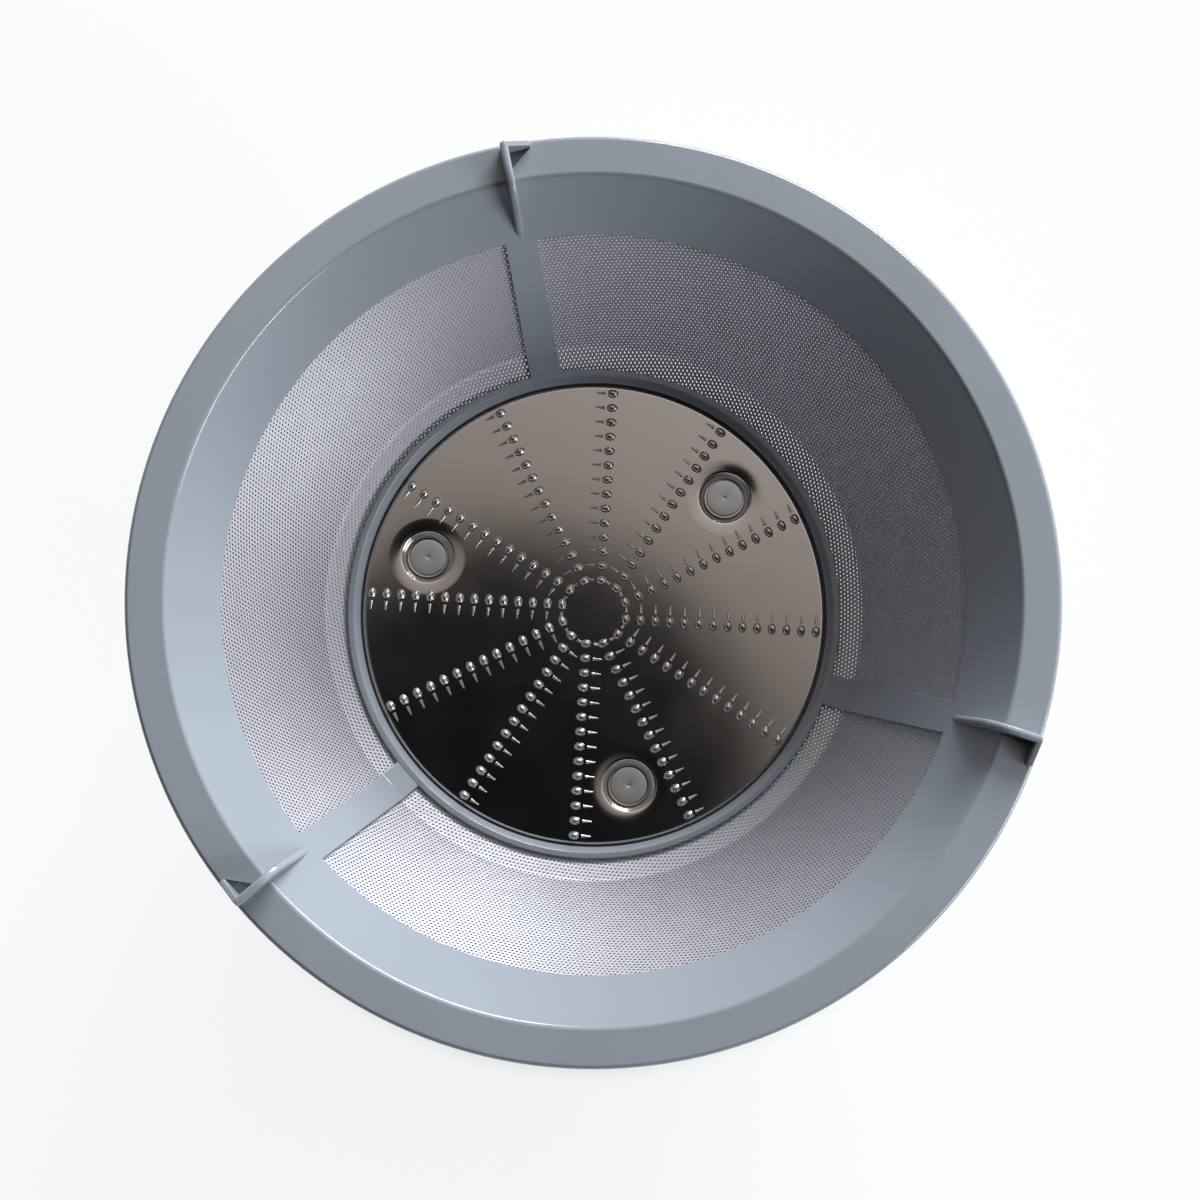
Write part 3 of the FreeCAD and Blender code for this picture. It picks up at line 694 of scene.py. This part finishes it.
def open_holes(obj, half):
    """Delete the diamonds outside the fan, inset the others and delete their middles."""
    bpy.ops.object.mode_set(mode="EDIT")
    bpy.ops.mesh.select_mode(type="FACE")
    bpy.ops.mesh.select_all(action="DESELECT")
    bpy.ops.object.mode_set(mode="OBJECT")
    faces = obj.data.polygons
    centres = np.zeros(len(faces) * 3)
    faces.foreach_get("center", centres)
    centres = centres.reshape(-1, 3)
    reach = np.hypot(centres[:, 0], centres[:, 1])
    angle = np.arctan2(centres[:, 1], centres[:, 0])
    faces.foreach_set("select", (reach < reach_low) | (reach > reach_high) | (np.abs(angle) > half))
    bpy.ops.object.mode_set(mode="EDIT")
    bpy.ops.mesh.delete(type="FACE")
    bpy.ops.mesh.select_all(action="SELECT")
    bpy.ops.mesh.inset(thickness=BAR_WIDTH / 2, use_individual=True, use_even_offset=True)
    bpy.ops.mesh.delete(type="FACE")
    bpy.ops.object.mode_set(mode="OBJECT")


def thicken(obj):
    """Give the sheet its thickness, with the darker steel of painted shade on the walls of the holes."""
    take(obj)
    bpy.ops.object.modifier_add(type="SOLIDIFY")
    modifier = obj.modifiers[-1]
    modifier.thickness = MESH_THICKNESS
    modifier.offset = -1
    # The rims, which are the walls of the holes, take the second material: darker steel as painted shade.
    modifier.material_offset_rim = 1
    for material in (mesh_steel, hole_wall_painted_shade):
        obj.data.materials.append(material)
    bpy.ops.object.modifier_apply(modifier=modifier.name)


print("holes every", round(HOLE_PITCH / MM, 2), "mm, bars", round(BAR_WIDTH / MM, 2), "mm wide")

# %% Three windows of mesh
for index in range(SPOKES):
    middle = SPOKE_AZIMUTH + (index + 0.5) * math.tau / SPOKES
    middle = (middle + math.pi) % math.tau - math.pi
    half = WINDOW_HALF * roll
    sheet = lay_lattice(f"mesh_window_{index + 1}", LATTICE_TURN - middle * roll, half)
    open_holes(sheet, half)
    rolled = roll_up(read_points(sheet.data)[:, :2], middle)
    sheet.data.vertices.foreach_set("co", rolled.ravel())
    sheet.data.update()
    thicken(sheet)
    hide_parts("filter_mesh")
    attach(sheet, "root")
    print(sheet.name, sum(len(face.vertices) - 2 for face in sheet.data.polygons), "triangles")

# %% [markdown]
# ## The grater disc
# One pressed sheet: flat, with its edge turned down, and three round wells sunk into it for the rivets. The
# press pulls the sheet down a little round each well, so a very shallow dish leads to a rounded mouth, a
# steep wall and a rounded foot. A mirror shows even a tenth of a millimetre, and that dish is what bends
# the reflections. The plate is spun, the cups below are united with it and the wells are cut.

# %% Plate and wells
DISC_EDGE_ROUND = 0.7 * MM
WELL_FOOT_ROUND = 0.35 * MM
WELL_MOUTH_ROUND = 0.6 * MM
DISH_RADIUS = 6.5 * MM
MOUTH_WIDTH = 0.5 * MM
DISH_START = WELL_RADIUS + MOUTH_WIDTH
DISH_DEPTH = 0.1 * MM
DISH_STEPS = 12
SKIM = 0.002 * MM
WELL_STEPS = 96

inside = DISC_RADIUS - DISC_SHEET
disc = spin("plate", [
    (0, FLOOR_TOP),
    (inside, FLOOR_TOP),
    (inside, DISC_TOP - DISC_EDGE_DROP),
    (DISC_RADIUS, DISC_TOP - DISC_EDGE_DROP),
    (DISC_RADIUS, DISC_TOP, DISC_EDGE_ROUND),
    (0, DISC_TOP),
])
cup = spin("cup", [
    (0, cup_bottom),
    (WELL_FLOOR + DISC_SHEET, cup_bottom),
    (WELL_RADIUS + DISC_SHEET, FLOOR_TOP + SKIM),
    (0, FLOOR_TOP + SKIM),
], steps=WELL_STEPS)
dish = []
for step in range(DISH_STEPS + 1):
    radius = DISH_START + (DISH_RADIUS - DISH_START) * step / DISH_STEPS
    inward = (DISH_RADIUS - radius) / (DISH_RADIUS - WELL_RADIUS)
    dish.append((radius, DISC_TOP + SKIM - (DISH_DEPTH + SKIM) * inward ** 2))
well = spin("well", [
    (0, well_bottom - OVERCUT),
    (RIVET_HOLE, well_bottom - OVERCUT),
    (RIVET_HOLE, well_bottom),
    (WELL_FLOOR, well_bottom, WELL_FOOT_ROUND),
    (WELL_RADIUS, DISC_TOP - DISH_DEPTH, WELL_MOUTH_ROUND),
    *dish,
    (DISH_RADIUS + SKIM, DISC_TOP + OVERCUT),
    (0, DISC_TOP + OVERCUT),
], steps=WELL_STEPS)
for tool, operation in ((cup, "UNION"), (well, "DIFFERENCE")):
    move_out(tool, WELL_CIRCLE)
    carve(disc, ring_of(tool, WELLS, WELL_AZIMUTH), operation)
print("disc plate:", len(disc.data.polygons), "faces")

# %% [markdown]
# ## The teeth
# A punch raises each tooth: a round dome, torn open at one side, and behind the tear a thin tapering tail.
# One tooth is a sphere and a cone, squeezed and cut off below the sheet. Sculpting one would give more
# shape than the eye can see at this size. An array makes a row of fourteen, and twelve rows go round the
# disc. A tooth has only a few dozen faces because there are 168 of them. Its skin is the half-bright steel,
# and the torn face is painted dark, as painted shade of the opening under the tooth.

# %% One tooth
FIRST_TOOTH = 5.1 * MM
DOME_SEGMENTS = 12
DOME_RINGS = 8
DOME_WIDTH = 0.68 * MM
DOME_LENGTH = 0.95 * MM
DOME_PLACE = -0.85 * MM
SLIT = -0.12 * MM
TAIL_START = 0.3 * MM
TAIL_END = 1.75 * MM
TAIL_WIDTH = 0.28 * MM
TAIL_HEIGHT = 0.34 * MM
TAIL_SEGMENTS = 16
TAIL_TIP = 0.35
TOOTH_ROOT = 0.15 * MM
SHADED_OPENING_FACING = 0.99


def cut_off(point, way):
    """In edit mode: cut all of the mesh at a plane, drop what lies on the way's side and close the cut."""
    bpy.ops.mesh.select_all(action="SELECT")
    bpy.ops.mesh.bisect(plane_co=point, plane_no=way, use_fill=True, clear_outer=True)


bpy.ops.object.select_all(action="DESELECT")
bpy.ops.mesh.primitive_uv_sphere_add(segments=DOME_SEGMENTS, ring_count=DOME_RINGS, radius=1)
dome = bpy.context.active_object
dome.scale = (DOME_WIDTH, DOME_LENGTH, TOOTH_HEIGHT)
dome.location = (FIRST_TOOTH, DOME_PLACE, DISC_TOP)
bpy.ops.object.transform_apply(location=True, rotation=False, scale=True)
bpy.ops.object.mode_set(mode="EDIT")
cut_off((0, 0, DISC_TOP - TOOTH_ROOT), (0, 0, -1))
cut_off((0, SLIT, 0), (0, 1, 0))
bpy.ops.object.mode_set(mode="OBJECT")

tail_length = TAIL_END - TAIL_START
bpy.ops.object.select_all(action="DESELECT")
bpy.ops.mesh.primitive_cone_add(vertices=TAIL_SEGMENTS, radius1=1, radius2=TAIL_TIP, depth=tail_length,
                                rotation=(-math.pi / 2, 0, 0))
tail = bpy.context.active_object
bpy.ops.object.transform_apply(location=False, rotation=True, scale=False)
tail.scale = (TAIL_WIDTH, 1, TAIL_HEIGHT)
tail.location = (FIRST_TOOTH, (TAIL_START + TAIL_END) / 2, DISC_TOP)
bpy.ops.object.transform_apply(location=True, rotation=False, scale=True)
bpy.ops.object.mode_set(mode="EDIT")
cut_off((0, 0, DISC_TOP - TOOTH_ROOT), (0, 0, -1))
bpy.ops.object.mode_set(mode="OBJECT")

tooth = join(dome, tail)
for material in (tooth_steel, tooth_opening_painted_shade):
    tooth.data.materials.append(material)
# The face at the tooth's open side gets the dark steel, as painted shade of the opening under it.
for face in tooth.data.polygons:
    shaded_opening_face = face.normal.y > SHADED_OPENING_FACING and face.center.y < 0
    face.material_index = 1 if shaded_opening_face else 0
print("tooth:", len(tooth.data.polygons), "faces")

# %% Row of teeth and rows round the disc
TOOTH_ROWS = 12
ROW_AZIMUTH = math.radians(15)
TEETH_PER_ROW = 14
TOOTH_BORDER = 1.4 * MM
LAST_TOOTH = DISC_RADIUS - TOOTH_BORDER

take(tooth)
bpy.ops.object.modifier_add(type="ARRAY")
row = tooth.modifiers[-1]
row.count = TEETH_PER_ROW
row.use_relative_offset = False
row.use_constant_offset = True
row.constant_offset_displace = ((LAST_TOOTH - FIRST_TOOTH) / (TEETH_PER_ROW - 1), 0, 0)
bpy.ops.object.modifier_apply(modifier=row.name)
teeth = ring_of(tooth, TOOTH_ROWS, ROW_AZIMUTH)
print("teeth:", TEETH_PER_ROW * TOOTH_ROWS, "with", len(teeth.data.polygons), "faces")

# %% Disc and teeth as one pressed piece
DISC_SHARP = math.radians(40)

disc.data.materials.append(mirror_steel)
disc = join(disc, teeth)
dress(disc, "toothed_disc", "grater_disc", [], DISC_SHARP)

# %% [markdown]
# ## Rivets
# Three tumbled rivets hold the disc down. The head is a flat button with a soft edge and the small centre
# mark that the setting tool leaves; the tail is spread below the boss. A cylinder with bevels would do for
# the head, but one turned section makes head, shank and tail together. One is spun and copied into each
# well.

# %% Rivets
HEAD_RADIUS = 2.9 * MM
HEAD_HEIGHT = 0.4 * MM
HEAD_ROUND = 0.2 * MM
SHANK_RADIUS = 1.5 * MM
TAIL_RADIUS = 2.8 * MM
TAIL_DEPTH = 0.9 * MM
TAIL_ROUND = 0.2 * MM
MARK_RADIUS = 0.35 * MM
MARK_DEPTH = 0.12 * MM
MARK_ROUND = 0.1 * MM
RIVET_SHARP = math.radians(35)

head_top = well_bottom + HEAD_HEIGHT
rivet = spin("rivet", [
    (0, boss_bottom - TAIL_DEPTH),
    (SHANK_RADIUS, boss_bottom - TAIL_DEPTH, TAIL_ROUND),
    (TAIL_RADIUS, boss_bottom),
    (SHANK_RADIUS, boss_bottom),
    (SHANK_RADIUS, well_bottom),
    (HEAD_RADIUS, well_bottom),
    (HEAD_RADIUS, head_top, HEAD_ROUND),
    (MARK_RADIUS, head_top, MARK_ROUND),
    (0, head_top - MARK_DEPTH),
], steps=SMALL_TURN_STEPS)
move_out(rivet, WELL_CIRCLE)
rivets = ring_of(rivet, WELLS, WELL_AZIMUTH)
dress(rivets, "well_rivets", "disc_rivets", [rivet_steel], RIVET_SHARP)

# %% [markdown]
# ## The table
# The basket stands on a matt white table. More light would make the table whiter, but the basket too, so
# most of the white is a glow that shows only to rays that reach the eye, and the rest is plain paint, which
# keeps the shadow. Under the basket there is no glow, and the paint there is a greyer painted shade, so the
# holes of the mesh look into shade. From below the table is clear, so that the underside can be looked at.

# %% Table
FLOOR_SIZE = 12.0
GLOW_FROM = 65 * MM
GLOW_FULL = 76 * MM
GLOW_SHARE = 0.85
TABLE_WHITE = "#f2f2f2"
# Grey of the table under the basket: painted shade.
TABLE_PAINTED_SHADE = "#bebec0"


def seen_rays(tree):
    """Output that is 1 for rays that show a surface to the eye, directly, mirrored or through glass."""
    path = add_node(tree, "ShaderNodeLightPath", {}).outputs
    seen = add_node(tree, "ShaderNodeMath", {0: path["Is Camera Ray"], 1: path["Is Glossy Ray"]},
                    operation="MAXIMUM")
    seen = add_node(tree, "ShaderNodeMath", {0: seen.outputs[0], 1: path["Is Transmission Ray"]},
                    operation="MAXIMUM")
    return seen.outputs[0]


bpy.ops.object.select_all(action="DESELECT")
bpy.ops.mesh.primitive_plane_add(size=FLOOR_SIZE)
floor = bpy.context.active_object
floor.name = "white_table"

# To the eye: an even white with a soft shadow, and no shine; under the basket a grey of painted shade.
table_white = bpy.data.materials.new("white table top, matt")
table_white.use_nodes = True
tree = table_white.node_tree
tree.nodes.remove(tree.nodes["Principled BSDF"])
table_place = add_node(tree, "ShaderNodeTexCoord", {}).outputs["Object"]
from_basket = add_node(tree, "ShaderNodeVectorMath", {0: table_place}, operation="LENGTH")
away = add_node(tree, "ShaderNodeMapRange", {
    "Value": from_basket.outputs["Value"], "From Min": GLOW_FROM, "From Max": GLOW_FULL},
    interpolation_type="SMOOTHSTEP")
glowing = add_node(tree, "ShaderNodeMath", {0: away.outputs["Result"], 1: GLOW_SHARE}, operation="MULTIPLY")
share = add_node(tree, "ShaderNodeMath", {0: seen_rays(tree), 1: glowing.outputs[0]}, operation="MULTIPLY")
# Under the basket the paint turns grey as painted shade; away from it the paint is white.
paint_with_painted_shade = add_node(tree, "ShaderNodeMix", {"Factor": away.outputs["Result"], "A": linear(TABLE_PAINTED_SHADE),
                                        "B": linear(TABLE_WHITE)}, data_type="RGBA")
paper = add_node(tree, "ShaderNodeBsdfDiffuse", {"Color": paint_with_painted_shade.outputs["Result"]})
glow = add_node(tree, "ShaderNodeEmission", {"Color": (1, 1, 1, 1), "Strength": 1.0})
blend = add_node(tree, "ShaderNodeMixShader", {0: share.outputs[0], 1: paper.outputs[0], 2: glow.outputs[0]})
underneath = add_node(tree, "ShaderNodeNewGeometry", {}).outputs["Backfacing"]
clear = add_node(tree, "ShaderNodeBsdfTransparent", {})
top = add_node(tree, "ShaderNodeMixShader", {0: underneath, 1: blend.outputs[0], 2: clear.outputs[0]})
tree.links.new(top.outputs[0], tree.nodes["Material Output"].inputs["Surface"])
floor.data.materials.append(table_white)
print("table of", FLOOR_SIZE, "m, glowing from", round(GLOW_FROM / MM), "mm off the axis")

# %% [markdown]
# ## The camera
# The photograph looks down into the bowl from a hand's height, leaning a little to one side. Moving a
# camera by eye takes long. The circles of the rim and the disc are easier to measure: how far their centres
# lie apart gives the lean, and how their sizes compare gives the distance.

# %% Camera
PHOTO_SIZE = 1200
FOCAL_PIXELS = 2088
CAMERA_REACH = 300 * MM
CAMERA_LEAN = math.radians(6.17)
PHOTO_UP = math.radians(78.6)
AIM_RIGHT = 0.9 * MM
AIM_DOWN = 1.2 * MM
SENSOR_WIDTH = 36.0
CLIP_START = 10 * MM

photo_up = Vector((math.cos(PHOTO_UP), math.sin(PHOTO_UP), 0))
photo_right = Vector((photo_up.y, -photo_up.x, 0))
flange_centre = Vector((0, 0, FLANGE_TOP))
leaning = Vector((0, 0, math.cos(CAMERA_LEAN))) - photo_up * math.sin(CAMERA_LEAN)
eye = flange_centre + leaning * CAMERA_REACH
aim = flange_centre + photo_right * AIM_RIGHT - photo_up * AIM_DOWN
look = (aim - eye).normalized()
side = look.cross(photo_up).normalized()
over = side.cross(look)
bpy.ops.object.camera_add()
camera = bpy.context.active_object
camera.matrix_world = Matrix((side, over, -look)).transposed().to_4x4()
camera.location = eye
camera.data.sensor_width = SENSOR_WIDTH
camera.data.lens = FOCAL_PIXELS / PHOTO_SIZE * SENSOR_WIDTH
camera.data.clip_start = CLIP_START
bpy.context.scene.camera = camera
print("camera, mm:", [round(value / MM, 1) for value in eye])

# %% [markdown]
# ## Daylight
# Two windows light the bowl from low at one side: a near one that gives the bright lower left wall, and a
# weaker one further round. A sun lamp would draw hard shadows, so each window is a large area lamp.

# %% Windows
WINDOWS = {"near_window": (math.radians(56), 106), "far_window": (math.radians(-38), 50)}
WINDOW_HEIGHT = math.radians(18)
WINDOW_DISTANCE = 2.5
WINDOW_WIDTH = 1.5
WINDOW_RISE = 0.8
DAYLIGHT = "#f4f8ff"


def direction(azimuth, height):
    """Unit vector at an azimuth and a height above the horizon."""
    across = math.cos(height)
    return Vector((math.cos(azimuth) * across, math.sin(azimuth) * across, math.sin(height)))


for name, (azimuth, power) in WINDOWS.items():
    to_window = direction(azimuth, WINDOW_HEIGHT)
    bpy.ops.object.light_add(type="AREA")
    window = bpy.context.active_object
    window.name = name
    window.location = flange_centre + to_window * WINDOW_DISTANCE
    window.rotation_euler = (-to_window).to_track_quat("-Z", "Y").to_euler()
    window.data.shape = "RECTANGLE"
    window.data.size = WINDOW_WIDTH
    window.data.size_y = WINDOW_RISE
    window.data.energy = power
    window.data.color = linear(DAYLIGHT)[:3]
    window.visible_camera = False
    print(name, power, "W")

# %% [markdown]
# ## The room
# A mirror shows its surroundings, so the room matters as much as the disc's steel. It is warm and bright
# towards the windows and dim away from them. Right above the disc it has a soft dark patch, and a broad
# shade on the near side. A room built of walls would do the same, but a few soft steps in the world are
# easier to tune. Low down the world is a white backdrop, seen only by the eye, so that the table has no
# dark edge behind it.

# %% Room
ROOM_BRIGHT = "#ece6e2"
ROOM_DIM = "#1f1c1b"
ROOM_TURN = math.radians(48)
ROOM_DARK_FROM = -0.07
PATCH = "#141416"
PATCH_RIGHT = -0.042
PATCH_UP = 0.012
PATCH_INNER = 0.112
PATCH_OUTER = 0.142
SHADE_HEIGHT = math.radians(55)
SHADE_INNER = math.radians(15)
SHADE_OUTER = math.radians(46)
BACKDROP_TOP = math.radians(2)
BACKDROP_FADE = math.radians(5)

patch_way = (photo_right * PATCH_RIGHT + photo_up * PATCH_UP + Vector((0, 0, 1))).normalized()
shade_way = Vector((0, 0, math.sin(SHADE_HEIGHT))) - photo_up * math.cos(SHADE_HEIGHT)
world = bpy.data.worlds.new("dim warm room")
bpy.context.scene.world = world
world.use_nodes = True
tree = world.node_tree
way = add_node(tree, "ShaderNodeTexCoord", {}).outputs["Generated"]
near = add_node(tree, "ShaderNodeVectorMath", {0: way, 1: patch_way}, operation="DOT_PRODUCT")
inside_patch = add_node(tree, "ShaderNodeMapRange", {
    "Value": near.outputs["Value"], "From Min": math.cos(PATCH_OUTER), "From Max": math.cos(PATCH_INNER)},
    interpolation_type="SMOOTHSTEP")
lower = add_node(tree, "ShaderNodeVectorMath", {0: way, 1: shade_way}, operation="DOT_PRODUCT")
inside_shade = add_node(tree, "ShaderNodeMapRange", {
    "Value": lower.outputs["Value"], "From Min": math.cos(SHADE_OUTER), "From Max": math.cos(SHADE_INNER)},
    interpolation_type="SMOOTHSTEP")
dark = add_node(tree, "ShaderNodeMath", {
    0: inside_patch.outputs["Result"], 1: inside_shade.outputs["Result"]}, operation="MAXIMUM")
bright_way = direction(ROOM_TURN, WINDOW_HEIGHT)
toward = add_node(tree, "ShaderNodeVectorMath", {0: way, 1: bright_way}, operation="DOT_PRODUCT")
daylight = add_node(tree, "ShaderNodeMapRange", {
    "Value": toward.outputs["Value"], "From Min": ROOM_DARK_FROM}, interpolation_type="SMOOTHSTEP")
walls = add_node(tree, "ShaderNodeMix", {"Factor": daylight.outputs["Result"], "A": linear(ROOM_DIM),
                                         "B": linear(ROOM_BRIGHT)}, data_type="RGBA")
room = add_node(tree, "ShaderNodeMix", {"Factor": dark.outputs[0], "A": walls.outputs["Result"],
                                        "B": linear(PATCH)}, data_type="RGBA")
rise = add_node(tree, "ShaderNodeSeparateXYZ", {"Vector": way}).outputs["Z"]
near_ground = add_node(tree, "ShaderNodeMapRange", {
    "Value": rise, "From Min": math.sin(BACKDROP_TOP), "From Max": math.sin(BACKDROP_FADE),
    "To Min": 1.0, "To Max": 0.0})
backdrop = add_node(tree, "ShaderNodeMath", {0: seen_rays(tree), 1: near_ground.outputs["Result"]},
                    operation="MULTIPLY")
around = add_node(tree, "ShaderNodeMix", {"Factor": backdrop.outputs[0], "A": room.outputs["Result"],
                                          "B": (1, 1, 1, 1)}, data_type="RGBA")
tree.links.new(around.outputs["Result"], tree.nodes["Background"].inputs["Color"])
print("made", world.name, "with", len(tree.nodes), "nodes")

# %% [markdown]
# ## Colour view
# The Standard view shows colours as they were chosen.

bpy.context.scene.view_settings.view_transform = "Standard"
